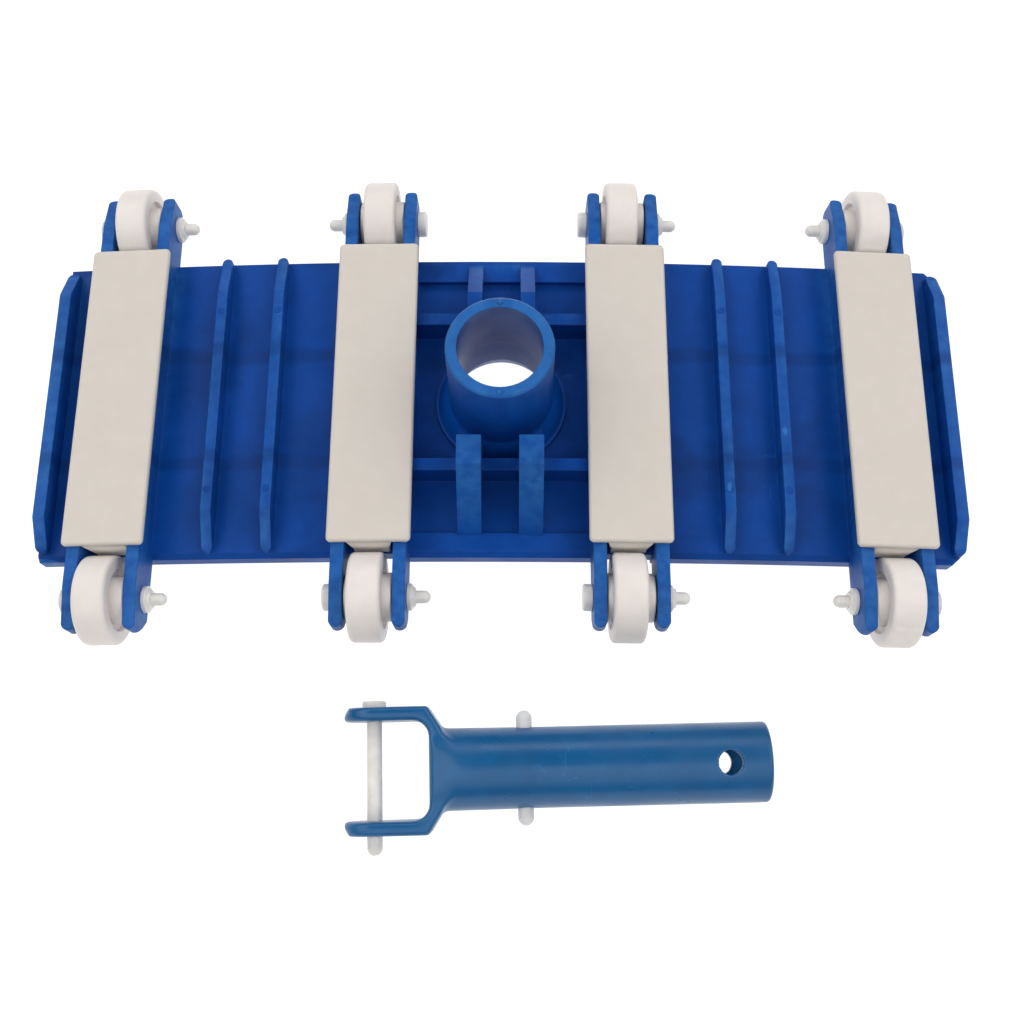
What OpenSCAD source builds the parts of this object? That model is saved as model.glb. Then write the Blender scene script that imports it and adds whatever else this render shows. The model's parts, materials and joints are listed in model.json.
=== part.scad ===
// Flexible swimming pool vacuum head with four ballast weights and eight wheels.
// Its pole handle lies loose on the floor in front of it, with the fork pin pushed home.
// Millimetres. +X to the right along the arched plate, +Y to the rear, +Z up.
// The floor is Z = 0, and the origin is the bottom centre of the box round everything.
// "Up the arch" below means square to the plate's top surface at a station along the arch.

/* [Base plate] */
// Width of the plate, measured along its arch
plate_w = 350; // [340:1:366]
// Depth of the plate, front to rear
plate_d = 123; // [121:1:126]
// Thickness of the moulded deck
plate_t = 3.5; // [3:0.1:4]
// Depth of the skirt below the deck's top surface
skirt_h = 7.5; // [6.5:0.1:8.5]
// Radius of the plate's gentle arch
arch_r = 1695; // [1400:5:3000]
// Width of the bevel along the front edge
edge_bevel = 1.9; // [1:0.1:2.2]

/* [Ribs] */
// Distance of the inner long ribs from the middle
rib_inner_x = 86.1; // [80:0.1:90]
// Distance of the outer long ribs from the middle
rib_outer_x = 108.4; // [102:0.1:112]
// How far the four long ribs sit to the left of even spacing
rib_shift = 0.9; // [0:0.1:1.5]
// Thickness of the long ribs
rib_t = 4; // [3:0.1:5]
// Height of the long ribs
rib_h = 8; // [6:0.1:9]
// Thickness of the end flanges
flange_t = 4.6; // [3.5:0.1:5.5]
// Height of the end flanges
flange_h = 8.6; // [7:0.1:10]

/* [Hose port] */
// Outer diameter of the hose port
port_od = 38.9; // [37.5:0.1:39.5]
// Height of the port's rim above the deck
port_h = 50; // [44:0.5:54]
// Inner diameter at the rim
port_id = 30.8; // [29:0.1:32]
// Height above the deck where the hose cuff comes to rest
port_seat_z = 27; // [26.6:0.1:30]

/* [Handle lugs] */
// Gap between the two lugs
lug_gap = 13.8; // [12:0.1:16]
// Thickness of each lug
lug_t = 9; // [7:0.1:9.4]
// Height of the lugs above the deck
lug_h = 26.5; // [26:0.1:28]
// Distance of the pin hole in front of the port's axis
lug_pin_y = 29.3; // [29:0.1:30]
// Height of the pin hole above the deck
lug_pin_z = 20.6; // [20.4:0.1:20.8]

/* [Weights] */
// Distance of the outer weights from the middle
weight_outer_x = 145.1; // [142:0.1:148]
// Distance of the inner weights from the middle
weight_inner_x = 47.5; // [46:0.1:50]
// Width of a weight's cap
cap_w = 30.8; // [30:0.1:32]
// Length of a weight's cap
cap_l = 121.9; // [120:0.1:122]
// Thickness of a weight's cap
cap_t = 3; // [2.5:0.1:3.5]
// Height of the cap's top above the deck
cap_top = 14.7; // [14:0.1:16]

/* [Wheels] */
// Wheel diameter
wheel_d = 33.2; // [32:0.1:33.6]
// Tread width
wheel_w = 12.4; // [12:0.1:14]
// Distance of the axles from the middle of the plate
axle_y = 77.6; // [77.4:0.1:80]
// Height of the axles above the deck
axle_z = 1.5; // [0.5:0.1:2.5]
// Axle pin diameter
axle_d = 4.7; // [4:0.1:5]

/* [Handle] */
// Outer diameter of the handle tube
tube_od = 28.5; // [28:0.1:29.5]
// Wall of the handle tube
tube_wall = 3; // [2.6:0.1:3.2]
// Distance from the fork pin's axis to the end of the pole's seat
tube_seat_x = 61; // [60:0.5:66]
// Length from the fork pin's axis to the free end
tube_reach = 140.3; // [135:0.1:150]
// Width across the fork's arms
fork_w = 44.7; // [44:0.1:46]
// Gap between the fork's arms
fork_gap = 34.7; // [34:0.1:35.2]
// Fork pin diameter
fork_pin_d = 5.5; // [5:0.1:5.8]
// Distance of the handle's pin in front of the plate's middle
handle_dist = 139.6; // [136:0.1:150]
// Turn of the lying handle about the vertical
handle_yaw = 1.6; // [0:0.1:4]
// Roll of the lying handle about its own tube
handle_roll = 8; // [0:0.5:8]

/* [Snap clip] */
// Diameter of a snap button
button_d = 5.7; // [5:0.1:6]
// How far a button stands out of the tube
button_out = 6; // [4:0.1:6.5]
// Distance of the buttons from the fork pin's axis
button_x = 53.7; // [50:0.1:60]

/* [Hidden] */
// Radial play of an axle in its hole, of a pin in a fork, and of a button in the tube
fit_play = 0.05;
pin_play = 0.07;
button_play = 0.1;
// How far a rib or a wall is sunk into what it stands on, and an overcut past a face
sink = 1;
cut = 1;
half_w = plate_w / 2;
half_d = plate_d / 2;
skirt_t = 2.2;
// The middle bay is a shallow tray between a front and a rear lip
bay_half = 33;
bay_depth = 2.5;
bay_floor_t = 3;
lip_y = 52.4;
// Cross ribs of the middle bay, on top, and stiffening ribs under the side bays
cross_rib_h = 9.6;
cross_rib_t = 4.8;
cross_rear_y = 31.2;
cross_front_y = -28.6;
rib_knee_y = 45.5;
rib_front_reach = half_d - edge_bevel + 0.3;
rib_rear_reach = half_d + 0.4;
rib_front_h = 1.8;
rib_rear_h = 4.2;
flange_knee_y = 46.5;
flange_nose_h = 2.4;
flange_reach = half_d - 2.6;
corner_cut = 5.2;
under_rib_t = 2.6;
under_rib_h = 6;
under_rear_y = 20.6;
under_front_y = -23.6;
// Port
port_r = port_od / 2;
boss_r = 25;
boss_step_h = 0.6;
boss_top_z = 9;
bore_line_z = 20.8;
bore_line_r = 16.1;
bore_step = 0.2;
bore_low_z = 3.5;
bore_low_r = 16.9;
mouth_r = 20.5;
rim_round = 0.7;
nub_r = 1.5;
nub_inset = 2;
// Draft of the port below the cuff's seat
port_draft = 0.4;
// Ribs behind the port
back_rib_gap = 14.8;
back_rib_t = 5.6;
back_rib_h = 15;
back_rib_knee_y = 40;
// Lug outline, front to rear
lug_toe_y = -53.4;
lug_knee_y = -34.8;
lug_back_y = -23.6;
lug_foot_y = -20.5;
lug_foot_z = 9;
lug_root_y = -12;
lug_hole_r = fork_pin_d / 2 + 0.2;
// Wheel channels: two walls that carry the weight's cap and run on as the wheel's ears
wall_gap = 18;
wall_t = 4.8;
wall_h = cap_top - cap_t;
ear_knee_y = 75;
ear_front_y = 87.6;
ear_rear_y = 85.5;
ear_nose_z = 5.3;
ear_nose_r = 4;
ear_tip_back = 1.2;
ear_heel_back = 2.6;
ear_low_z = -3;
notch_half = 8.9;
notch_y = 60.3;
// Weight
weight_play = 0.35;
weight_end_y = 59.8;
cap_shift_y = 1;
weight_foot_w = 13.6;
weight_foot_z = 3;
cap_corner_r = 1.8;
// Wheel
wheel_r = wheel_d / 2;
tread_round = 1.7;
rim_inner_r = 11.6;
web_w = 9;
hub_r = 9;
hub_w = 17.4;
hub_round = 0.8;
axle_r = axle_d / 2;
// Axle pin and its push-on cap, measured from the ear's outer face
ear_face = wall_gap / 2 + wall_t;
head_r = 5;
head_t = 3.4;
cap_disc_t = 1.9;
cap_neck_t = 1;
cap_neck_r = 3.4;
stem_out = 8.5;
pin_float = 0.1;
// Handle, in its own frame: fork pin's axis is the origin, the tube runs along +X
tube_r = tube_od / 2;
tube_bore_r = tube_r - tube_wall;
tube_draft = 0.3;
tube_start_x = 27;
bore_start_x = 34;
arm_half_h = 11.2;
arm_chamfer = 2.6;
yoke_back_x = 20;
yoke_round = 6;
yoke_corner_x = 18.6;
yoke_corner_r = 1.8;
shoulder_x = 24.2;
cross_hole_x = 125.3;
cross_hole_d = 8.6;
end_round = 0.9;
// Fork pin
pin_head_r = 4.3;
pin_head_t = 2.4;
pin_tip_out = 7;
// Snap clip, a flat strip bent to a U inside the tube
strip_t = 1.6;
strip_w = 8;
strip_y = 8.8;
strip_from_x = 48;
strip_to_x = 85;
clip_joint_gap = 0.4;
clip_foot_l = 3;
// Roundness of true circles, and of the few blended shapes
$fn = 96;
arch_fn = 2400;
blend_fn = 32;

// Heights and places that follow from the sizes above
function arch_deg(x) = x / arch_r * 180 / PI;
outer_deg = arch_deg(weight_outer_x);
tread_flat = wheel_w / 2 - tread_round;
wheel_drop = tread_flat * sin(outer_deg) + (wheel_r - tread_round) * cos(outer_deg) + tread_round;
deck_z = arch_r - (arch_r + axle_z) * cos(outer_deg) + wheel_drop;
pin_front_l = fork_w / 2 + pin_tip_out;
handle_front = handle_dist + (pin_front_l - fork_pin_d / 2) * cos(handle_roll) + fork_pin_d / 2;
head_y = (handle_front - axle_y - wheel_r) / 2;
handle_pin_x = -44.4;

// Station name, distance along the arch, the side that the axle's stem points to at the rear and
// at the front wheel, and how far the rear and the front wheel's rim sit off the middle of the hub
STATIONS = [
    ["outer_left", -weight_outer_x, 1, 1, -1, -1.8],
    ["inner_left", -weight_inner_x, -1, 1, -0.4, -0.8],
    ["inner_right", weight_inner_x, 1, 1, -0.7, -0.8],
    ["outer_right", weight_outer_x, -1, -1, 1.2, 1.1]
];
// End of the plate, its side, and where a station keeps the stem's side and the rim's offset there
ENDS = [["rear", 1, 2, 4], ["front", -1, 3, 5]];

// ---- frames ----

// Local frame at a station of the arch: z = 0 on the deck, +Z up the arch
module on_arch(x) {
    translate([0, head_y, deck_z - arch_r]) rotate([0, arch_deg(x), 0]) translate([0, 0, arch_r])
        children();
}

// Sweeps an outline drawn in (height above deck, distance to the front) along the arch
module arch_sweep(from_x, to_x) {
    translate([0, head_y, deck_z - arch_r]) rotate([90, 0, 0]) rotate([0, 0, 90 - arch_deg(to_x)])
        rotate_extrude(angle = arch_deg(to_x - from_x), $fn = arch_fn) translate([arch_r, 0]) children();
}

// A box along the arch: height range and depth range
module arch_box(from_x, to_x, z0, z1, y0, y1) {
    arch_sweep(from_x, to_x) translate([z0, -y1]) square([z1 - z0, y1 - y0]);
}

// A plate of thickness t standing across X, cut to an outline drawn in (y, z)
module side_plate(x, t) {
    translate([x - t / 2, 0, 0]) rotate([90, 0, 90]) linear_extrude(t) children();
}

// Frame of the lying handle: origin on the fork pin's axis, +X along the tube
module handle_frame() {
    translate([handle_pin_x, head_y - handle_dist, tube_r]) rotate([0, 0, handle_yaw])
        rotate([handle_roll, 0, 0]) children();
}

// ---- base plate, one moulding ----

module deck_outline() {
    polygon([
        [0, half_d - edge_bevel], [0, -half_d], [-skirt_h, -half_d],
        [-skirt_h, -half_d + skirt_t], [-plate_t, -half_d + skirt_t],
        [-plate_t, half_d - skirt_t], [-skirt_h, half_d - skirt_t],
        [-skirt_h, half_d], [-edge_bevel, half_d]
    ]);
}

module end_outline() {
    polygon([
        [0, half_d - edge_bevel], [0, -half_d], [-skirt_h, -half_d],
        [-skirt_h, half_d], [-edge_bevel, half_d]
    ]);
}

module deck() {
    arch_sweep(-half_w, half_w) deck_outline();
    arch_sweep(-half_w, -half_w + skirt_t) end_outline();
    arch_sweep(half_w - skirt_t, half_w) end_outline();
    arch_box(-bay_half - skirt_t, bay_half + skirt_t, -bay_depth - bay_floor_t, -bay_depth,
        -half_d + skirt_t, half_d - skirt_t);
}

// Bar of width t along Y, rounded at both ends when seen from above
module round_bar_plan(t, front, rear) {
    translate([-t / 2, -front + t / 2]) square([t, front + rear - t]);
    translate([0, -front + t / 2]) circle(r = t / 2);
    translate([0, rear - t / 2]) circle(r = t / 2);
}

// Long rib: full height in the middle, a long slope and a rounded nose at each end
module long_rib(t, h, knee_y, front, rear, front_h, rear_h) {
    intersection() {
        side_plate(0, t + 2 * cut) polygon([
            [-front, -sink], [-front, front_h], [-knee_y, h], [knee_y, h], [rear, rear_h], [rear, -sink]
        ]);
        translate([0, 0, -sink - cut]) linear_extrude(h + sink + 2 * cut) round_bar_plan(t, front, rear);
    }
}

module long_ribs() {
    for (side = [-1, 1]) {
        for (x = [rib_inner_x, rib_outer_x]) on_arch(side * x - rib_shift)
            long_rib(rib_t, rib_h, rib_knee_y, rib_front_reach, rib_rear_reach, rib_front_h, rib_rear_h);
        on_arch(side * (half_w - flange_t / 2)) long_rib(flange_t, flange_h, flange_knee_y,
            flange_reach, flange_reach, flange_nose_h, flange_nose_h);
    }
}

module cross_ribs() {
    for (y = [cross_rear_y, cross_front_y])
        arch_box(-bay_half - sink, bay_half + sink, -bay_depth - sink, cross_rib_h, y - cross_rib_t / 2,
            y + cross_rib_t / 2);
    for (y = [under_rear_y, under_front_y]) for (side = [-1, 1])
        arch_box(side < 0 ? -half_w + sink : bay_half, side < 0 ? -bay_half : half_w - sink, -under_rib_h,
            -plate_t + sink, y - under_rib_t / 2, y + under_rib_t / 2);
}

// One wall of a weight's channel, with the ears of its two wheels
module wall_outline() {
    for (end = [[-1, ear_front_y], [1, ear_rear_y]]) {
        translate([end[0] * end[1], ear_nose_z]) circle(r = ear_nose_r);
        polygon([
            [0, ear_low_z], [end[0] * (end[1] - ear_heel_back), ear_low_z],
            [end[0] * (end[1] + ear_nose_r - 0.2), ear_nose_z - 1.2], [end[0] * end[1], ear_nose_z],
            [end[0] * (end[1] + 0.3), ear_nose_z + ear_nose_r - 0.1],
            [end[0] * ear_knee_y, wall_h], [0, wall_h]
        ]);
    }
}

module channel_walls() {
    tip = ear_nose_r - ear_tip_back;
    for (s = STATIONS) on_arch(s[1]) for (side = [-1, 1]) translate([side * (wall_gap + wall_t) / 2, 0, 0])
        intersection() {
            side_plate(0, wall_t + 2 * cut) wall_outline();
            translate([0, 0, ear_low_z - cut]) linear_extrude(wall_h - ear_low_z + 2 * cut)
                round_bar_plan(wall_t, ear_front_y + tip, ear_rear_y + tip);
        }
}

module port_solid() {
    base_z = -bay_depth - bay_floor_t;
    translate([0, 0, base_z]) cylinder(r1 = port_r + port_draft, r2 = port_r, h = port_seat_z - base_z);
    translate([0, 0, port_seat_z]) cylinder(r = port_r, h = port_h - rim_round - port_seat_z);
    translate([0, 0, port_h - rim_round]) cylinder(r1 = port_r, r2 = port_r - rim_round, h = rim_round);
    translate([0, 0, base_z]) cylinder(r = boss_r, h = boss_step_h - base_z);
    translate([0, 0, boss_step_h]) cylinder(r1 = boss_r - 1, r2 = port_r, h = boss_top_z - boss_step_h);
    for (side = [-1, 1]) translate([0, side * (port_r - nub_inset), port_h - rim_round]) sphere(r = nub_r);
}

module port_bore() {
    translate([0, 0, bore_line_z]) cylinder(r1 = bore_line_r, r2 = port_id / 2, h = port_h - bore_line_z);
    translate([0, 0, port_h]) cylinder(r = port_id / 2, h = cut * 2);
    translate([0, 0, bore_low_z])
        cylinder(r1 = bore_low_r, r2 = bore_line_r + bore_step, h = bore_line_z - bore_low_z);
    translate([0, 0, -skirt_h]) cylinder(r1 = mouth_r, r2 = bore_low_r, h = skirt_h + bore_low_z);
}

module port_ribs() {
    lug_x = (lug_gap + lug_t) / 2;
    back_x = (back_rib_gap + back_rib_t) / 2;
    for (side = [-1, 1]) {
        side_plate(side * lug_x, lug_t) polygon([
            [lug_toe_y, -bay_depth - sink], [lug_toe_y, 0.2], [lug_knee_y, lug_h], [lug_back_y, lug_h],
            [lug_foot_y, lug_foot_z], [lug_root_y, lug_foot_z - 3], [lug_root_y, -bay_depth - sink]
        ]);
        side_plate(side * back_x, back_rib_t) polygon([
            [port_r - 6, -bay_depth - sink], [port_r - 6, back_rib_h], [back_rib_knee_y, back_rib_h],
            [half_d - edge_bevel, 0], [half_d - edge_bevel - sink, -sink]
        ]);
    }
}

module corner_cuts() {
    for (sx = [-1, 1]) for (sy = [-1, 1]) on_arch(sx * half_w) translate([0, sy * half_d, 0])
        rotate([0, 0, 45]) cube([corner_cut, corner_cut, 6 * skirt_h], center = true);
}

module base_plate() {
    color("royalblue") difference() {
        union() {
            difference() {
                deck();
                arch_box(-bay_half, bay_half, -bay_depth, cut, -lip_y, lip_y);
            }
            difference() {
                long_ribs();
                corner_cuts();
            }
            cross_ribs();
            channel_walls();
            on_arch(0) {
                port_solid();
                port_ribs();
            }
        }
        corner_cuts();
        on_arch(0) {
            port_bore();
            translate([-lug_gap - lug_t, -lug_pin_y, lug_pin_z]) rotate([0, 90, 0])
                cylinder(r = lug_hole_r, h = 2 * (lug_gap + lug_t));
        }
        for (s = STATIONS) on_arch(s[1]) for (side = [-1, 1]) {
            translate([-ear_face - cut, side * axle_y, axle_z]) rotate([0, 90, 0])
                cylinder(r = axle_r + fit_play, h = 2 * (ear_face + cut));
            translate([-notch_half, side > 0 ? notch_y : -half_d - cut, -skirt_h - cut])
                cube([2 * notch_half, half_d + cut - notch_y, skirt_h + 2 * cut]);
        }
    }
}

// ---- ballast weight: a cap over the channel and a tapered body down inside it ----

module weight(x) {
    body_w = wall_gap - 2 * weight_play;
    corner_x = cap_w / 2 - cap_corner_r;
    corner_y = cap_l / 2 - cap_corner_r;
    color("antiquewhite") on_arch(x) {
        translate([0, cap_shift_y, wall_h]) linear_extrude(cap_t) {
            square([2 * corner_x, cap_l], center = true);
            square([cap_w, 2 * corner_y], center = true);
            for (sx = [-1, 1]) for (sy = [-1, 1])
                translate([sx * corner_x, sy * corner_y]) circle(r = cap_corner_r);
        }
        translate([0, weight_end_y, 0]) rotate([90, 0, 0]) linear_extrude(2 * weight_end_y) polygon([
            [-weight_foot_w / 2, 0], [weight_foot_w / 2, 0], [weight_foot_w / 2, weight_foot_z],
            [body_w / 2, wall_h], [-body_w / 2, wall_h], [-weight_foot_w / 2, weight_foot_z]
        ]);
    }
}

// ---- wheel with a rounded tread, a recessed web and a hub ----

// Rectangle from radius r0 to r1, w wide, with its outer corners rounded
module ring_outline(r0, r1, w, round_r) {
    translate([r0, -w / 2]) square([r1 - r0 - round_r, w]);
    translate([r0, -w / 2 + round_r]) square([r1 - r0, w - 2 * round_r]);
    for (side = [-1, 1]) translate([r1 - round_r, side * (w / 2 - round_r)]) circle(r = round_r);
}

module wheel(x, side, rim_offset) {
    color("ivory") on_arch(x) translate([0, side * axle_y, axle_z]) rotate([0, 90, 0]) difference() {
        rotate_extrude() {
            translate([0, rim_offset]) {
                ring_outline(rim_inner_r, wheel_r, wheel_w, tread_round);
                ring_outline(1, wheel_r - 2 * tread_round, web_w, tread_round);
            }
            ring_outline(1, hub_r, hub_w, hub_round);
        }
        translate([0, 0, -hub_w]) cylinder(r = axle_r + fit_play, h = 2 * hub_w);
    }
}

// ---- axle pin: a round head, a plain shaft and a rounded stem; and its push-on cap ----

module axle_frame(x, side, stem_side) {
    on_arch(x) translate([0, side * axle_y, axle_z]) rotate([0, 90 * stem_side, 0]) children();
}

module axle_pin(x, side, stem_side) {
    tip_z = ear_face + stem_out - axle_r;
    color("whitesmoke") axle_frame(x, side, stem_side) {
        translate([0, 0, -ear_face - pin_float]) cylinder(r = axle_r, h = tip_z + ear_face + pin_float);
        translate([0, 0, tip_z]) rotate_extrude() intersection() {
            circle(r = axle_r);
            square([axle_r, axle_r]);
        }
        translate([0, 0, -ear_face - pin_float - head_t]) rotate_extrude() {
            square([head_r - hub_round, head_t]);
            translate([0, hub_round]) square([head_r, head_t - hub_round]);
            translate([head_r - hub_round, hub_round]) circle(r = hub_round);
        }
    }
}

module axle_cap(x, side, stem_side) {
    color("white") axle_frame(x, side, stem_side) translate([0, 0, ear_face + pin_float]) difference() {
        union() {
            cylinder(r = head_r, h = cap_disc_t - 0.5);
            translate([0, 0, cap_disc_t - 0.5]) cylinder(r1 = head_r, r2 = head_r - 0.6, h = 0.5);
            translate([0, 0, cap_disc_t]) cylinder(r1 = cap_neck_r + 0.6, r2 = cap_neck_r, h = cap_neck_t);
        }
        translate([0, 0, -cut]) cylinder(r = axle_r + 0.01, h = cap_disc_t + cap_neck_t + 2 * cut);
    }
}

// ---- handle: tube, flared yoke and fork ----

// Plan outline of the fork, with sloping shoulders that run into the tube
module fork_plan() {
    arm_y = fork_w / 2;
    edge_x = yoke_corner_x + yoke_corner_r;
    difference() {
        union() {
            translate([-arm_half_h, -arm_y]) square([yoke_corner_x + arm_half_h, fork_w]);
            translate([0, -arm_y + yoke_corner_r]) square([edge_x, fork_w - 2 * yoke_corner_r]);
            for (side = [-1, 1]) {
                translate([yoke_corner_x, side * (arm_y - yoke_corner_r)]) circle(r = yoke_corner_r);
                polygon([
                    [0, 0], [0, side * (arm_y - yoke_corner_r)],
                    [edge_x - 0.3, side * (arm_y - yoke_corner_r + 1)],
                    [shoulder_x, side * (tube_r + 1)], [shoulder_x + 1.4, side * (tube_r + 0.3)],
                    [tube_start_x + 2, side * tube_r], [tube_start_x + 2, 0]
                ]);
            }
        }
        translate([-arm_half_h - cut, -fork_gap / 2])
            square([yoke_back_x + arm_half_h + cut - yoke_round, fork_gap]);
        translate([-arm_half_h - cut, -fork_gap / 2 + yoke_round])
            square([yoke_back_x + arm_half_h + cut, fork_gap - 2 * yoke_round]);
        for (side = [-1, 1]) translate([yoke_back_x - yoke_round, side * (fork_gap / 2 - yoke_round)])
            circle(r = yoke_round);
        for (side = [-1, 1]) translate([-arm_half_h, side * arm_y]) rotate([0, 0, 45])
            square(arm_chamfer * sqrt(2), center = true);
    }
}

// Side outline of the fork: arms with full round ends
module fork_side() {
    circle(r = arm_half_h);
    translate([0, -arm_half_h]) square([tube_start_x + 6, 2 * arm_half_h]);
}

module handle() {
    color("steelblue") handle_frame() difference() {
        union() {
            intersection() {
                translate([0, 0, -arm_half_h]) linear_extrude(2 * arm_half_h) fork_plan();
                translate([0, fork_w, 0]) rotate([90, 0, 0]) linear_extrude(2 * fork_w) fork_side();
            }
            hull() {
                translate([tube_start_x + 1, 0, 0]) rotate([0, 90, 0])
                    cylinder(r = tube_r, h = 2, $fn = 2 * blend_fn);
                translate([yoke_back_x, -fork_gap / 2, 1 - arm_half_h])
                    cube([1, fork_gap, 2 * arm_half_h - 2]);
            }
            translate([tube_start_x, 0, 0]) rotate([0, 90, 0])
                cylinder(r1 = tube_r + tube_draft, r2 = tube_r, h = tube_seat_x - tube_start_x);
            translate([tube_seat_x, 0, 0]) rotate([0, 90, 0])
                cylinder(r = tube_r, h = tube_reach - tube_seat_x - end_round);
            translate([tube_reach - end_round, 0, 0]) rotate([0, 90, 0])
                cylinder(r1 = tube_r, r2 = tube_r - end_round, h = end_round);
        }
        translate([bore_start_x, 0, 0]) rotate([0, 90, 0]) cylinder(r = tube_bore_r, h = tube_reach);
        translate([0, fork_w, 0]) rotate([90, 0, 0])
            cylinder(r = fork_pin_d / 2 + pin_play, h = 2 * fork_w);
        translate([button_x, fork_w, 0]) rotate([90, 0, 0])
            cylinder(r = button_d / 2 + button_play, h = 2 * fork_w);
        translate([cross_hole_x, 0, -tube_od]) cylinder(r = cross_hole_d / 2, h = 2 * tube_od);
    }
}

// Pin through the fork: flat head at the rear arm, rounded tip beyond the front arm
module fork_pin() {
    color("whitesmoke") handle_frame() rotate([90, 0, 0]) {
        pin_r = fork_pin_d / 2;
        shaft_l = fork_w / 2 + pin_float + pin_front_l - pin_r;
        translate([0, 0, -fork_w / 2 - pin_float]) cylinder(r = pin_r, h = shaft_l);
        translate([0, 0, pin_front_l - pin_r]) rotate_extrude() intersection() {
            circle(r = pin_r);
            square([pin_r, pin_r]);
        }
        translate([0, 0, -fork_w / 2 - pin_float - pin_head_t]) rotate_extrude() {
            square([pin_head_r - hub_round, pin_head_t]);
            translate([0, hub_round]) square([pin_head_r, pin_head_t - hub_round]);
            translate([pin_head_r - hub_round, hub_round]) circle(r = hub_round);
        }
    }
}

// ---- snap clip inside the tube ----

// Strip cross-section, drawn across the radius and along the tube's height
module strip_piece(x0, x1, y) {
    translate([x0, y, -strip_w / 2]) cube([x1 - x0, strip_t, strip_w]);
}

module clip_bend() {
    start_x = strip_to_x + clip_joint_gap;
    bend_out = strip_y + strip_t - 0.05;
    color("lightgrey") handle_frame() {
        for (side = [-1, 1])
            strip_piece(start_x, start_x + clip_foot_l, side > 0 ? bend_out - strip_t : -bend_out);
        translate([start_x + clip_foot_l, 0, -strip_w / 2]) linear_extrude(strip_w) intersection() {
            difference() {
                circle(r = bend_out);
                circle(r = bend_out - strip_t);
            }
            translate([0, -2 * bend_out]) square(4 * bend_out);
        }
    }
}

// One sprung leg of the clip with its round-ended button; side +1 is the rear one
module clip_button(side) {
    tip_y = tube_r + button_out - button_d / 2;
    color("white") handle_frame() {
        strip_piece(strip_from_x, strip_to_x, side > 0 ? strip_y - 0.5 : -strip_y + 0.5 - strip_t);
        translate([button_x, 0, 0]) rotate([-90 * side, 0, 0]) {
            translate([0, 0, strip_y]) cylinder(r = button_d / 2, h = tip_y - strip_y);
            translate([0, 0, tip_y]) rotate_extrude() intersection() {
                circle(r = button_d / 2);
                square([button_d / 2, button_d / 2]);
            }
        }
    }
}

// ---- nodes ----

base_plate();
for (s = STATIONS) weight(s[1]);
for (e = ENDS) for (s = STATIONS) {
    wheel(s[1], e[1], s[e[3]]);
    axle_pin(s[1], e[1], s[e[2]]);
    axle_cap(s[1], e[1], s[e[2]]);
}
handle();
fork_pin();
clip_bend();
clip_button(1);  // clip_button_rear
clip_button(-1);  // clip_button_front
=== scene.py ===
"""Looks of the pool vacuum head: moulded plastics, coated weights and a loose pole handle."""

import json
import math

import bpy
import numpy as np
from mathutils import Matrix, Vector


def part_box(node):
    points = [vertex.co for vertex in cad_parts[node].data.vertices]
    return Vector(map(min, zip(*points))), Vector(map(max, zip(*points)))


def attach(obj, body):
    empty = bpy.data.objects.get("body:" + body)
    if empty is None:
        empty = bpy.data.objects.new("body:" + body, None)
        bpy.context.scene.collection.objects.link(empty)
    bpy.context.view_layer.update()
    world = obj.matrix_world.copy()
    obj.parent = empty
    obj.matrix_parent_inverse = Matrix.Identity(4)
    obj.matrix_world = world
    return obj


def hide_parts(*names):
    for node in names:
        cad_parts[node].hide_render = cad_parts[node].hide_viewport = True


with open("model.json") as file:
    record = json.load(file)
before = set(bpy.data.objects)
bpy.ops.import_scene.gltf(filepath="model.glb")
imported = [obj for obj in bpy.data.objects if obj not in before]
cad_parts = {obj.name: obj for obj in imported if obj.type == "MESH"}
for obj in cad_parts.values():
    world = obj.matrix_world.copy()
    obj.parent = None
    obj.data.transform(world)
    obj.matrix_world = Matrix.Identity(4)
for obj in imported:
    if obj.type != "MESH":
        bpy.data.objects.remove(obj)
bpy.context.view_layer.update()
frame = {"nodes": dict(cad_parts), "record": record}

MM = 0.001
record = frame["record"]
joints = {joint["name"]: joint for joint in record["behaviour"]["joints"]}
mounts = {mount["name"]: mount for mount in record["mounts"]}

# ---- sizes in millimetres that the CAD has too ----

PORT_H = 50.0
PORT_NUB_TOP = 0.8
AXLE_Z = 1.5
BAY_HALF = 33.0
RIB_H = 8.0
RIB_X = (86.1, 108.4)
RIB_SHIFT = 0.9
UNDER_RIB_Y = (20.6, -23.6)
CAP_W = 30.8
CAP_L = 121.9
CAP_SHIFT_Y = 1.0
CAP_T = 3.0
CAP_TOP = 14.7
CAP_CORNER_R = 1.8
BODY_TOP_W = 17.3
BODY_FOOT_W = 13.6
BODY_FOOT_Z = 3.0
BODY_END_Y = 59.8
TUBE_R = 14.25
TUBE_BORE_R = 11.25
TUBE_DRAFT = 0.3
TUBE_SEAT_X = 61.0
TUBE_REACH = 140.3
FORK_HALF = 22.35
FORK_GAP_HALF = 17.35
ARM_HALF_H = 11.2
ARM_CHAMFER = 2.6
YOKE_BACK_X = 20.0
YOKE_ROUND = 6.0
YOKE_CORNER_X = 18.6
YOKE_CORNER_R = 1.8
SHOULDER_X = 24.2
BORE_START_X = 34.0
CROSS_HOLE_X = 125.3
CROSS_HOLE_R = 4.3
BUTTON_X = 53.7
BUTTON_HOLE_R = 2.95
PIN_HOLE_R = 2.82

# ---- sizes in millimetres that only the looks have ----

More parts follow.
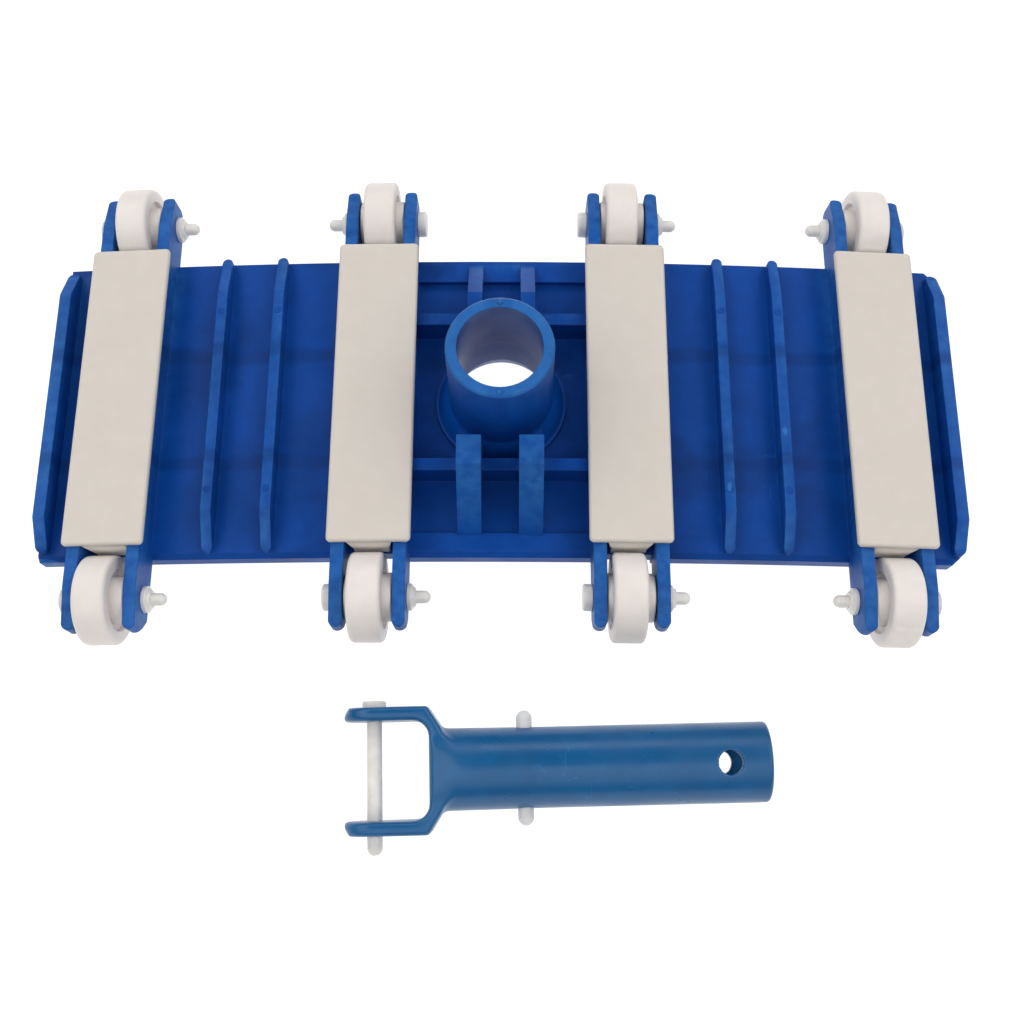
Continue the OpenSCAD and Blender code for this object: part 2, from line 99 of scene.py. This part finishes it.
SINK_HALF = 1.2
SINK_EDGE = 4.2
SINK_WANDER = 6.0
SINK_FADE = 2.0
# Band below the top of the port's rim that gets a painted highlight.
RIM_HIGHLIGHT_FROM = 1.2
RIM_HIGHLIGHT_TO = 0.2
SCUFFS = ((107.2, -13.0, RIB_H), (85.0, -36.0, RIB_H))
SCUFF_CORE = 1.2
SCUFF_EDGE = 2.1
SCUFF_RAGGED = 1.6
CAP_EDGE = 1.3
CAP_CROWN = 0.1
CAP_CROWN_STEPS = ((2.6, 0.04), (4.5, 0.0))
BODY_CORNER_R = 0.9
MARK_R = 1.5
MARK_Y = 37.0
TUBE_END_ROUND = 1.6
TUBE_START_X = YOKE_BACK_X + 1.5
TUBE_START_ROUND = 1.0
CROWN_X = 20.0
CROWN_L = 9.0
CROWN_ROUND = 1.2
YOKE_END_X = 28.0
ARM_ROUND = 2.4
YOKE_FILLET = 2.0
HOLE_ROUND = 0.5
HANDLE_GRID = 0.8
HANDLE_MARGIN = 2.0

# ---- frames that the record gives ----


def axes_matrix(origin, x_axis, y_axis):
    """Frame at origin (metres) with the given X, the Y nearest to y_axis, and their Z."""
    x_axis = Vector(x_axis).normalized()
    z_axis = x_axis.cross(Vector(y_axis)).normalized()
    y_axis = z_axis.cross(x_axis)
    turn = Matrix((x_axis, y_axis, z_axis)).transposed()
    return Matrix.Translation(Vector(origin)) @ turn.to_4x4()


def station_matrix(station):
    """Frame on the deck between a station's two wheels, with Z square to the arched plate."""
    rear = joints[f"wheel_rear_{station}_spin"]
    front = joints[f"wheel_front_{station}_spin"]
    middle = (Vector(rear["pos_m"]) + Vector(front["pos_m"])) / 2
    placed = axes_matrix(middle, rear["axis"], (0, 1, 0))
    return placed @ Matrix.Translation((0, 0, -AXLE_Z * MM))


STATIONS = ("outer_left", "inner_left", "inner_right", "outer_right")
port_at = Vector(mounts["hose_port"]["pos_m"])
deck_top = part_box("base_plate")[1][2] - (PORT_H + PORT_NUB_TOP) * MM
swing = joints["handle_swing"]
handle_frame = axes_matrix(swing["pos_m"], mounts["handle_tube"]["axis"], -Vector(swing["axis"]))
outer = station_matrix("outer_right")
arch_r = outer.translation.x / outer.col[2][0]


def arch_matrix(x):
    """Frame on the deck at arc distance x (mm) from the middle."""
    angle = x * MM / arch_r
    middle = Vector((0, port_at.y, deck_top - arch_r))
    lean = Matrix.Rotation(angle, 4, "Y")
    return Matrix.Translation(middle) @ lean @ Matrix.Translation((0, 0, arch_r))


# ---- mesh helpers ----


def make_object(name, points, faces, placed=Matrix.Identity(4), normals=None):
    """New smooth mesh object from points in millimetres in the frame `placed`."""
    mesh = bpy.data.meshes.new(name)
    turned = [placed @ (Vector(point) * MM) for point in points]
    mesh.from_pydata(turned, [], faces)
    mesh.validate()
    mesh.polygons.foreach_set("use_smooth", [True] * len(mesh.polygons))
    if normals is not None:
        turn = placed.to_3x3()
        mesh.normals_split_custom_set_from_vertices([turn @ Vector(n) for n in normals])
    made = bpy.data.objects.new(name, mesh)
    bpy.context.scene.collection.objects.link(made)
    return made


def rounded_rectangle(width, length, corner_r, steps=7):
    """Outline of a rectangle with round corners, anticlockwise, as (x, y) points."""
    outline = []
    for quarter, (sx, sy) in enumerate(((1, 1), (-1, 1), (-1, -1), (1, -1))):
        cx = sx * (width / 2 - corner_r)
        cy = sy * (length / 2 - corner_r)
        for step in range(steps + 1):
            angle = math.radians(90 * quarter + 90 * step / steps)
            outline.append((cx + corner_r * math.cos(angle), cy + corner_r * math.sin(angle)))
    return outline


def stack_outlines(layers):
    """Closed solid through outlines of equal point count: layers are lists of (x, y, z)."""
    count = len(layers[0])
    points = [point for layer in layers for point in layer]
    faces = [tuple(range(count - 1, -1, -1))]
    for low in range(len(layers) - 1):
        for k in range(count):
            after = (k + 1) % count
            a, b = low * count + k, low * count + after
            faces.append((a, b, b + count, a + count))
    faces.append(tuple(range((len(layers) - 1) * count, len(layers) * count)))
    return points, faces


def join_shells(*shells):
    """One (points, faces) pair from several."""
    points, faces = [], []
    for shell_points, shell_faces in shells:
        base = len(points)
        points += shell_points
        faces += [tuple(base + k for k in face) for face in shell_faces]
    return points, faces


def weighted_normals(piece):
    """Keeps big flat faces flat beside their small round edges."""
    modifier = piece.modifiers.new("flat faces", "WEIGHTED_NORMAL")
    modifier.keep_sharp = True
    modifier.weight = 80


# ---- distance fields, for shapes whose parts run smoothly into each other ----


def soft_min(a, b, blend):
    """Union of two distance fields with a fillet of about the given size."""
    near = np.maximum(blend - np.abs(a - b), 0) / blend
    return np.minimum(a, b) - near * near * blend / 4


def soft_max(a, b, blend):
    """Intersection of two distance fields with a rounded edge."""
    return -soft_min(-a, -b, blend)


def polygon_distance(x, y, outline):
    """Signed distance to a closed outline, negative inside."""
    best = np.full(x.shape, 1e9)
    inside = np.zeros(x.shape, bool)
    for (ax, ay), (bx, by) in zip(outline, outline[1:] + outline[:1]):
        ex, ey = bx - ax, by - ay
        along = np.clip(((x - ax) * ex + (y - ay) * ey) / (ex * ex + ey * ey), 0, 1)
        best = np.minimum(best, np.hypot(x - ax - ex * along, y - ay - ey * along))
        spans = (ay > y) != (by > y)
        if ay != by:
            inside ^= spans & (x < ax + (y - ay) * ex / ey)
    return np.where(inside, -best, best)


def surface_net(field, low, high, step):
    """Mesh of the field's zero surface with one point per crossed grid cell, and its normals."""
    lines = [np.arange(a, b + step, step) for a, b in zip(low, high)]
    grid = np.stack(np.meshgrid(*lines, indexing="ij"), -1)
    value = field(grid.reshape(-1, 3)).reshape(grid.shape[:3])
    cells = tuple(n - 1 for n in value.shape)
    total = np.zeros(cells + (3,))
    hits = np.zeros(cells)
    crossings = []
    for axis in range(3):
        first = tuple(slice(0, -1) if k == axis else slice(None) for k in range(3))
        second = tuple(slice(1, None) if k == axis else slice(None) for k in range(3))
        a, b = value[first], value[second]
        index = np.argwhere((a < 0) != (b < 0))
        a, b = a[tuple(index.T)], b[tuple(index.T)]
        spot = grid[tuple(index.T)].copy()
        spot[:, axis] += step * a / (a - b)
        u, v = [k for k in range(3) if k != axis]
        for du in (0, 1):
            for dv in (0, 1):
                cell = index.copy()
                cell[:, u] -= du
                cell[:, v] -= dv
                ok = ((cell >= 0) & (cell < np.array(cells))).all(1)
                np.add.at(total, tuple(cell[ok].T), spot[ok])
                np.add.at(hits, tuple(cell[ok].T), 1)
        crossings.append((index, a < 0, u, v))
    number = np.full(cells, -1)
    used = hits > 0
    number[used] = np.arange(used.sum())
    points = total[used] / hits[used][:, None]
    quads = []
    for axis, (index, leaving, u, v) in enumerate(crossings):
        ring = []
        for du, dv in ((0, 0), (1, 0), (1, 1), (0, 1)):
            cell = index.copy()
            cell[:, u] -= du
            cell[:, v] -= dv
            ring.append(number[tuple(cell.T)])
        ring = np.stack(ring, 1)
        turn = leaving if axis != 1 else ~leaving
        ring[~turn] = ring[~turn][:, ::-1]
        quads.append(ring)
    faces = np.concatenate(quads)
    for _ in range(4):
        height, slope = field(points), gradient(field, points)
        shift = slope * (height / np.maximum((slope * slope).sum(1), 1e-6))[:, None]
        points = points - np.clip(shift, -step, step)
    normals = gradient(field, points)
    normals /= np.linalg.norm(normals, axis=1)[:, None]
    return points, faces, normals


def gradient(field, points, reach=0.05):
    """Slope of the field at each point."""
    slope = np.empty_like(points)
    for axis in range(3):
        shift = np.zeros(3)
        shift[axis] = reach
        slope[:, axis] = (field(points + shift) - field(points - shift)) / (2 * reach)
    return slope


# ---- materials ----


class NodeTree:
    """A node tree, built node by node."""

    def __init__(self, tree):
        self.tree = tree
        self.tree.nodes.clear()

    def add(self, kind, values=None, **settings):
        """New node; values maps input names or numbers to constants or to output sockets."""
        node = self.tree.nodes.new(kind)
        for key, value in settings.items():
            setattr(node, key, value)
        for key, value in (values or {}).items():
            if isinstance(value, bpy.types.NodeSocket):
                self.tree.links.new(value, node.inputs[key])
            else:
                node.inputs[key].default_value = value
        return node

    def noise(self, place, scale, detail=3.0, rough=0.5, warp=0.0):
        """Cloudy value of about 0 to 1."""
        node = self.add("ShaderNodeTexNoise", {
            "Vector": place, "Scale": scale, "Detail": detail, "Roughness": rough, "Distortion": warp})
        return node.outputs[0]

    def ramp(self, value, low, high, to_low=0.0, to_high=1.0):
        """Smooth step from to_low at low to to_high at high."""
        node = self.add("ShaderNodeMapRange", {
            0: value, 1: low, 2: high, 3: to_low, 4: to_high}, interpolation_type="SMOOTHSTEP")
        return node.outputs[0]

    def math(self, operation, a, b=0.0):
        return self.add("ShaderNodeMath", {0: a, 1: b}, operation=operation).outputs[0]

    def mix(self, factor, a, b):
        """Colour between a, at factor 0, and b, at factor 1."""
        node = self.add("ShaderNodeMix", {0: factor, 6: a, 7: b}, data_type="RGBA")
        return node.outputs[2]

    def stretched(self, place, scale):
        """The place with each axis scaled."""
        return self.add("ShaderNodeMapping", {"Vector": place, "Scale": scale}).outputs[0]


class Shader(NodeTree):
    """A material and its node tree."""

    def __init__(self, name):
        self.material = bpy.data.materials.new(name)
        self.material.use_nodes = True
        super().__init__(self.material.node_tree)

    def finish(self, shader):
        """Ends the tree with the given shader and returns the material."""
        self.add("ShaderNodeOutputMaterial", {"Surface": shader})
        return self.material


def colour(red, green, blue):
    """Linear colour from the 0-255 values of a screen."""
    def linear(part):
        part /= 255
        return part / 12.92 if part <= 0.04045 else ((part + 0.055) / 1.055) ** 2.4
    return (linear(red), linear(green), linear(blue), 1.0)


def moulded_plastic(name, tint, stain_and_shade, light, roughness, specular, mottle, stained, scratched, edge_wear_and_highlight,
                    grain=0.06, fleck=0.055, glow=0.0, soft=0.0, bands=None, rubbed_and_highlit=None):
    """Injection-moulded plastic: cloudy colour, fine grain, hairline scratches, and convex edges painted
    lighter, partly as edge scuffing and partly as painted highlight.

    mottle is how fine the clouds are, soft the radius in millimetres of softened edges, and
    bands and the last argument are functions that give sunken places, which get painted shade, and places
    painted in the light colour, as scuffs and as painted highlight.
    """
    s = Shader(name)
    place = s.add("ShaderNodeTexCoord").outputs["Object"]
    cloud = s.ramp(s.noise(place, mottle, detail=4, rough=0.55, warp=0.4), 0.42, 0.72)
    base = s.mix(s.math("MULTIPLY", cloud, stained), tint, stain_and_shade)
    flecks = s.ramp(s.noise(place, 140, detail=2), 0.35, 0.75, 1 - fleck, 1 + fleck)
    base = s.add("ShaderNodeHueSaturation", {"Value": flecks, "Color": base}).outputs[0]
    along_x = s.noise(s.stretched(place, (60, 900, 60)), 1.0, detail=5, rough=0.6, warp=1.5)
    along_y = s.noise(s.stretched(place, (1100, 45, 80)), 1.0, detail=5, rough=0.6, warp=1.8)
    patch = s.ramp(s.noise(place, 17, detail=2), 0.48, 0.62)
    hairs = s.math("ADD", s.ramp(along_x, 0.66, 0.70), s.ramp(along_y, 0.67, 0.71))
    scratch = s.math("MULTIPLY", hairs, patch)
    base = s.mix(s.math("MULTIPLY", scratch, scratched), base, light)
    # Convex edges, found by pointiness, are painted toward the light colour: partly edge scuffing, partly
    # painted highlight.
    edge = s.ramp(s.add("ShaderNodeNewGeometry").outputs["Pointiness"], 0.515, 0.60)
    worn_and_highlit_edge = s.math("MULTIPLY", edge, s.ramp(s.noise(place, 260, 3), 0.25, 0.7, 0.35, 1.0))
    base = s.mix(s.math("MULTIPLY", worn_and_highlit_edge, edge_wear_and_highlight), base, light)
    height = s.math("MULTIPLY", s.noise(place, 1500, 3), grain)
    height = s.math("ADD", height, s.math("MULTIPLY", s.noise(place, 60, detail=2), 0.5))
    height = s.math("SUBTRACT", height, s.math("MULTIPLY", scratch, 0.12))
    if bands is not None:
        sunk_and_shaded = bands(s, place)
        # Painted shade: the sunken bands are mixed toward the darker colour, besides being lowered in the
        # bump.
        base = s.mix(s.math("MULTIPLY", sunk_and_shaded, 0.5), base, stain_and_shade)
        height = s.math("SUBTRACT", height, s.math("MULTIPLY", sunk_and_shaded, 0.5))
    # Painted in the light colour where the given function says: scuffs, and painted highlight.
    if rubbed_and_highlit is not None:
        base = s.mix(rubbed_and_highlit(s, place), base, light)
    rough = s.ramp(s.noise(place, 45, 3), 0.3, 0.7, roughness - 0.05, roughness + 0.08)
    rough = s.math("ADD", rough, s.math("MULTIPLY", scratch, 0.15))
    bump = s.add("ShaderNodeBump", {"Height": height, "Distance": 0.0003, "Strength": 0.35})
    if soft:
        rounded = s.add("ShaderNodeBevel", {"Radius": soft * MM}, samples=6)
        s.tree.links.new(rounded.outputs[0], bump.inputs["Normal"])
    values = {
        "Base Color": base, "Roughness": rough, "Normal": bump.outputs[0],
        "Specular IOR Level": specular}
    if glow:
        values["Subsurface Weight"] = glow
        values["Subsurface Radius"] = (1.0, 0.8, 0.6)
        values["Subsurface Scale"] = 0.002
    return s.finish(s.add("ShaderNodeBsdfPrincipled", values).outputs[0])


def sink_bands(s, place):
    """Faint sunken bands in the deck over the two stiffening ribs below it; moulded_plastic lowers them
    in the bump and paints them darker as painted shade.
    """
    part = s.add("ShaderNodeSeparateXYZ", {0: place})
    drift = s.math("SUBTRACT", s.noise(place, 38, detail=2), 0.5)
    wander = s.math("MULTIPLY", drift, SINK_WANDER * MM)
    total = 0.0
    for y in UNDER_RIB_Y:
        off = s.math("SUBTRACT", s.math("ADD", part.outputs[1], wander), port_at.y + y * MM)
        band = s.ramp(s.math("ABSOLUTE", off), SINK_HALF * MM, SINK_EDGE * MM, 1.0, 0.0)
        total = s.math("ADD", band, total)
    side = s.ramp(s.math("ABSOLUTE", part.outputs[0]), BAY_HALF * MM, (BAY_HALF + SINK_FADE) * MM)
    return s.math("MULTIPLY", total, side)


def rim_highlight_and_scuffs(s, place):
    """Where the plate is painted pale: a painted highlight around the top of the port's rim, and small
    scuffs on the ribs' tops.
    """
    part = s.add("ShaderNodeSeparateXYZ", {0: place})
    rim_z = deck_top + PORT_H * MM
    # Painted highlight in a band around the top of the port's rim.
    rim = s.ramp(part.outputs[2], rim_z - RIM_HIGHLIGHT_FROM * MM, rim_z - RIM_HIGHLIGHT_TO * MM)
    rubbed_and_highlit = s.math("MULTIPLY", rim, 0.42)
    for x, y, z in SCUFFS:
        spot = arch_matrix(x) @ Vector((0, y * MM, z * MM))
        shifted = s.add("ShaderNodeVectorMath", {0: place, 1: spot}, operation="SUBTRACT").outputs[0]
        longer = s.stretched(shifted, (1.0, 0.55, 1.0))
        away = s.add("ShaderNodeVectorMath", {0: longer}, operation="LENGTH").outputs["Value"]
        ragged = s.math("ADD", away, s.math("MULTIPLY", s.noise(place, 900), SCUFF_RAGGED * MM))
        scuff = s.ramp(ragged, SCUFF_CORE * MM, SCUFF_EDGE * MM, 1.0, 0.0)
        rubbed_and_highlit = s.math("MAXIMUM", rubbed_and_highlit, s.math("MULTIPLY", scuff, 0.7))
    return rubbed_and_highlit


plate_blue = moulded_plastic(
    "plate_blue", colour(3, 66, 148), colour(3, 48, 112), colour(50, 116, 182), roughness=0.42,
    specular=0.16, mottle=26, stained=0.6, scratched=0.3, edge_wear_and_highlight=0.5, soft=0.5, bands=sink_bands,
    rubbed_and_highlit=rim_highlight_and_scuffs)
handle_blue = moulded_plastic(
    "handle_blue", colour(12, 86, 137), colour(10, 74, 123), colour(90, 142, 182), roughness=0.30,
    specular=0.4, mottle=14, stained=0.4, grain=0.03, scratched=0.45, edge_wear_and_highlight=0.3)
weight_cream = moulded_plastic(
    "weight_cream", colour(206, 198, 189), colour(200, 191, 180), colour(228, 222, 214), roughness=0.5,
    specular=0.3, mottle=30, stained=0.25, grain=0.1, fleck=0.012, scratched=0.15, edge_wear_and_highlight=0.5)
wheel_ivory = moulded_plastic(
    "wheel_ivory", colour(226, 219, 214), colour(219, 212, 206), colour(239, 235, 231), roughness=0.45,
    specular=0.35, mottle=60, stained=0.3, fleck=0.02, scratched=0.2, edge_wear_and_highlight=0.4, glow=0.12, soft=0.4)
pin_white = moulded_plastic(
    "pin_white", colour(224, 221, 216), colour(216, 212, 206), colour(240, 239, 236), roughness=0.32,
    specular=0.4, mottle=120, stained=0.4, scratched=0.15, edge_wear_and_highlight=0.3, glow=0.15, soft=0.3)
clip_white = moulded_plastic(
    "clip_white", colour(212, 212, 213), colour(200, 200, 201), colour(236, 236, 236), roughness=0.35,
    specular=0.4, mottle=120, stained=0.4, scratched=0.1, edge_wear_and_highlight=0.3, glow=0.3, soft=0.3)


def dress(piece, material):
    """Gives a mesh one material all over."""
    piece.data.materials.clear()
    piece.data.materials.append(material)


# ---- pieces ----


def weight_piece(station):
    """Ballast weight: soft-edged cap over a tapered body."""
    profile = [(CAP_EDGE * (1 - math.sin(a)), CAP_EDGE * (1 - math.cos(a)))
               for a in (math.radians(15 * k) for k in range(7))]
    layers = []
    under = [(inset, CAP_TOP - CAP_T + rise) for inset, rise in profile]
    over = [(inset, CAP_TOP - CAP_CROWN - rise) for inset, rise in reversed(profile)]
    over += [(inset, CAP_TOP - drop) for inset, drop in CAP_CROWN_STEPS]
    for inset, z in under + over:
        corner_r = max(CAP_CORNER_R - inset, CAP_CORNER_R / 4)
        ring = rounded_rectangle(CAP_W - 2 * inset, CAP_L - 2 * inset, corner_r)
        layers.append([(x, y + CAP_SHIFT_Y, z) for x, y in ring])
    cap = stack_outlines(layers)
    body_layers = []
    body_top = CAP_TOP - CAP_T + 0.2
    for z, width in ((0.0, BODY_FOOT_W), (BODY_FOOT_Z, BODY_FOOT_W), (body_top, BODY_TOP_W)):
        ring = rounded_rectangle(width, 2 * BODY_END_Y, BODY_CORNER_R)
        body_layers.append([(x, y, z) for x, y in ring])
    body = stack_outlines(body_layers)
    piece = make_object(f"weight.{station}", *join_shells(cap, body), placed=station_matrix(station))
    weighted_normals(piece)
    dress(piece, weight_cream)
    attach(piece, "head")
    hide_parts(f"weight_{station}")


def fork_outline():
    """Plan outline of the fork's rear half, in the handle's frame."""
    corner = [(YOKE_CORNER_X + YOKE_CORNER_R * math.sin(a), FORK_HALF - YOKE_CORNER_R * (1 - math.cos(a)))
              for a in (math.radians(15 * k) for k in range(4))]
    inner_x, inner_y = YOKE_BACK_X - YOKE_ROUND, FORK_GAP_HALF - YOKE_ROUND
    inside = [(inner_x + YOKE_ROUND * math.cos(a), inner_y + YOKE_ROUND * math.sin(a))
              for a in (math.radians(10 * k) for k in range(10))]
    hidden = 5.0  # how far the outline runs past the middle line and into the tube
    return (
        [(-ARM_HALF_H + ARM_CHAMFER, FORK_HALF)] + corner
        + [(SHOULDER_X, TUBE_R + 0.8), (SHOULDER_X + 1.2, TUBE_R - 1.5), (YOKE_END_X, TUBE_R - hidden)]
        + [(YOKE_END_X, -hidden), (YOKE_BACK_X, -hidden)]
        + inside + [(-ARM_HALF_H, FORK_GAP_HALF), (-ARM_HALF_H, FORK_HALF - ARM_CHAMFER)]
    )


FORK_OUTLINE = fork_outline()


def handle_field(points):
    """Signed distance in millimetres to the handle, in its own frame."""
    x, y, z = points.T
    ring = np.hypot(y, z)
    draft = TUBE_DRAFT * np.clip((TUBE_SEAT_X - x) / (TUBE_SEAT_X - SHOULDER_X), 0, 1)
    tube = soft_max(ring - TUBE_R - draft, x - TUBE_REACH, TUBE_END_ROUND)
    slope = (TUBE_R - ARM_HALF_H) / CROWN_L
    crown = (np.abs(z) - ARM_HALF_H - (x - CROWN_X) * slope) / math.hypot(1, slope)
    tube = soft_max(soft_max(tube, crown, CROWN_ROUND), TUBE_START_X - x, TUBE_START_ROUND)
    plan = polygon_distance(x, np.abs(y), FORK_OUTLINE)
    side = np.where(x < 0, np.hypot(x, z), np.abs(z)) - ARM_HALF_H
    fork = soft_max(plan, side, ARM_ROUND)
    body = soft_min(tube, fork, YOKE_FILLET)
    holes = (
        np.maximum(ring - TUBE_BORE_R, BORE_START_X - x),
        np.hypot(x, z) - PIN_HOLE_R,
        np.hypot(x - BUTTON_X, z) - BUTTON_HOLE_R,
        np.hypot(x - CROSS_HOLE_X, y) - CROSS_HOLE_R,
    )
    for hole in holes:
        body = soft_max(body, -hole, HOLE_ROUND)
    return body


def handle_piece():
    """Tube, yoke and fork in one smooth moulding."""
    low = [-reach - HANDLE_MARGIN for reach in (ARM_HALF_H, FORK_HALF, TUBE_R)]
    high = [reach + HANDLE_MARGIN for reach in (TUBE_REACH, FORK_HALF, TUBE_R)]
    points, faces, normals = surface_net(handle_field, low, high, HANDLE_GRID)
    piece = make_object("handle.moulding", points, faces.tolist(), handle_frame, normals)
    dress(piece, handle_blue)
    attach(piece, "handle")
    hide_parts("handle")


def ejector_mark(name, x, y):
    """Shallow round witness mark of a mould ejector on top of a long rib."""
    steps = 28
    angles = [2 * math.pi * k / steps for k in range(steps)]
    layers = []
    for inset, z in ((0.0, -0.15), (0.0, 0.05), (0.12, 0.09), (0.4, 0.09), (0.55, 0.03)):
        r = MARK_R - inset
        layers.append([(r * math.cos(a), y + r * math.sin(a), RIB_H + z) for a in angles])
    piece = make_object(name, *stack_outlines(layers), placed=arch_matrix(x))
    weighted_normals(piece)
    dress(piece, plate_blue)
    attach(piece, "head")


for station_name in STATIONS:
    weight_piece(station_name)
handle_piece()
for side_name, side in (("left", -1), ("right", 1)):
    for rib, rib_x in zip(("inner", "outer"), RIB_X):
        for end_name, mark_y in (("rear", MARK_Y), ("front", -MARK_Y)):
            ejector_mark(f"ejector_mark.{side_name}_{rib}_{end_name}", side * rib_x - RIB_SHIFT, mark_y)

for node_name, node in frame["nodes"].items():
    if node_name == "base_plate":
        dress(node, plate_blue)
    elif node_name.startswith("wheel"):
        dress(node, wheel_ivory)
    elif node_name.startswith("axle") or node_name == "fork_pin":
        dress(node, pin_white)
    elif node_name.startswith("clip"):
        dress(node, clip_white)

# ---- floor, light and camera ----


def floor():
    """White floor that shines a little itself, so that it stays white under the object."""
    half = 3000.0
    steps = 24
    row = steps + 1
    line = [half * (2 * k / steps - 1) for k in range(row)]
    points = [(x, y, 0) for x in line for y in line]
    corners = [i * row + j for i in range(steps) for j in range(steps)]
    faces = [(k, k + row, k + row + 1, k + 1) for k in corners]
    piece = make_object("floor", points, faces)
    s = Shader("floor_white")
    place = s.add("ShaderNodeTexCoord").outputs["Object"]
    tone = s.mix(s.noise(place, 3.0, detail=2), (0.15, 0.15, 0.15, 1), (0.18, 0.18, 0.18, 1))
    surface = s.add("ShaderNodeBsdfPrincipled", {
        "Base Color": tone, "Roughness": 0.9, "Specular IOR Level": 0.1,
        "Emission Color": (1.0, 1.0, 1.0, 1), "Emission Strength": 1.0})
    dress(piece, s.finish(surface.outputs[0]))


def studio_light():
    """White tent: dim walls and a bright ceiling with a dark hole above and behind the object."""
    world = bpy.data.worlds.new("studio")
    bpy.context.scene.world = world
    world.use_nodes = True
    sky = NodeTree(world.node_tree)
    direction = sky.add("ShaderNodeTexCoord").outputs["Generated"]
    part = sky.add("ShaderNodeSeparateXYZ", {0: direction})
    wall = sky.ramp(part.outputs[1], -0.8, 0.8, 0.10, 0.15)
    ceiling = sky.ramp(part.outputs[1], -0.8, 0.8, 1.25, 2.9)
    tent = sky.ramp(part.outputs[2], 0.3, 0.7, wall, ceiling)
    hole = sky.add("ShaderNodeVectorMath", {0: direction, 1: (0.0, 0.33, 0.944)}, operation="DOT_PRODUCT")
    power = sky.ramp(hole.outputs["Value"], 0.84, 0.94, tent, 0.1)
    light = sky.add("ShaderNodeBackground", {"Color": (1.0, 1.0, 1.0, 1), "Strength": power})
    sky.add("ShaderNodeOutputWorld", {"Surface": light.outputs[0]})


def camera():
    """Camera above the front of the head, nearly square on to it."""
    distance = 0.4991
    elevation = math.radians(71.31)
    yaw = math.radians(-0.42)
    roll = math.radians(-0.23)
    aim = Vector((0.0040, -0.04423, 0))
    turn = Matrix.Rotation(-yaw, 3, "Z")
    middle = Vector((0, port_at.y, deck_top))
    spot = turn @ (aim + distance * Vector((0, -math.cos(elevation), math.sin(elevation)))) + middle
    look = turn @ Vector((0, math.cos(elevation), -math.sin(elevation)))
    data = bpy.data.cameras.new("camera")
    data.sensor_width = 36
    data.lens = 46.8176
    data.clip_start = 0.01
    data.clip_end = 20
    made = bpy.data.objects.new("camera", data)
    made.rotation_mode = "QUATERNION"
    made.location = spot
    level = look.to_track_quat("-Z", "Y")
    made.rotation_quaternion = level @ Matrix.Rotation(roll, 3, "Z").to_quaternion()
    bpy.context.scene.collection.objects.link(made)
    bpy.context.scene.camera = made


floor()
studio_light()
camera()
bpy.context.scene.view_settings.view_transform = "Standard"
